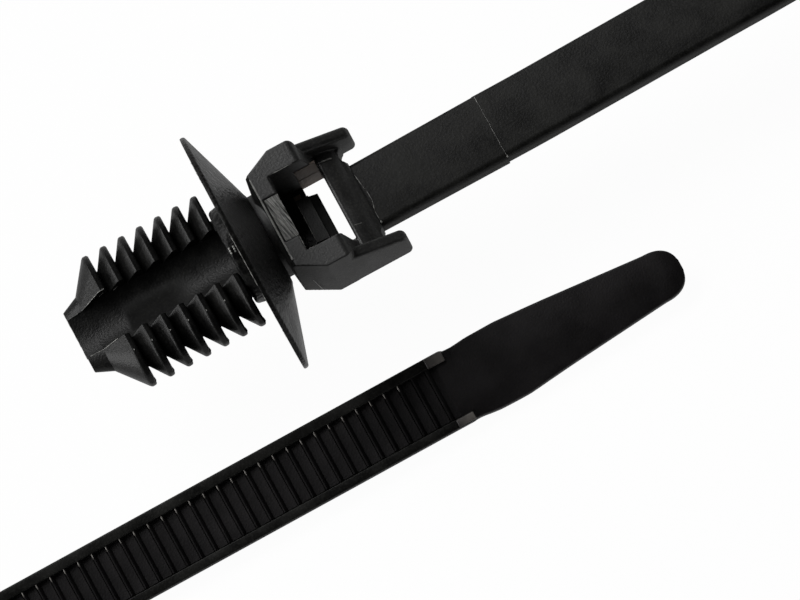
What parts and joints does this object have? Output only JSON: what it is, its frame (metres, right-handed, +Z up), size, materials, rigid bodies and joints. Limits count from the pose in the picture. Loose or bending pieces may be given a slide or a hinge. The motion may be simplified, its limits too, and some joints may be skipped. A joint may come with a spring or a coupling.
{
  "type": "fir tree cable tie",
  "caption": "Black nylon cable tie with a fir tree push mount and a spring disc behind its head; the toothed strap lies in a loose loop beside it.",
  "frame": {"origin": "centre of the disc's rim, in the plane where the rim meets a panel, on the axis of the fir tree", "axes": "+X from the fir tree through the head and along the strap, +Z up, out of the head's open top face, +Y to the left"},
  "size_m": [0.1366, 0.0491, 0.017],
  "materials": {
    "black_nylon": "semi-matte moulded nylon"
  },
  "bodies": {
    "root": {"cable_tie": "black_nylon"}
  },
  "joints": []
}
